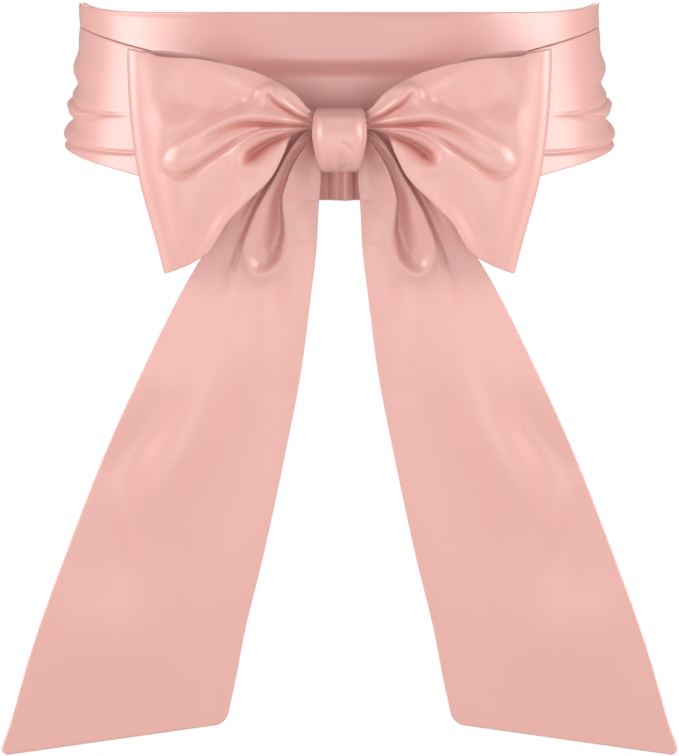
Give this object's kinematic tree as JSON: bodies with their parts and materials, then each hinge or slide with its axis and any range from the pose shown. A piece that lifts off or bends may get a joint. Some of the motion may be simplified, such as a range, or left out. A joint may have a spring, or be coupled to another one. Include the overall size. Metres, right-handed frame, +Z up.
{
  "type": "satin sash",
  "caption": "Wide satin sash wound twice round an open waist and tied in front in a flat bow with long slanted tails.",
  "frame": {"origin": "centre of the waist hollow, at about the middle of the band's height", "axes": "+Z up, the bow faces -Y, +X to the right as seen from in front"},
  "size_m": [0.326, 0.2304, 0.3616],
  "materials": {
    "satin": "soft satin sheen, plain pale pink"
  },
  "bodies": {
    "root": {"band_upper_turn": "satin", "band_lower_turn": "satin", "loop_left": "satin", "loop_right": "satin", "knot": "satin", "tail_left": "satin", "tail_right": "satin"}
  },
  "joints": []
}
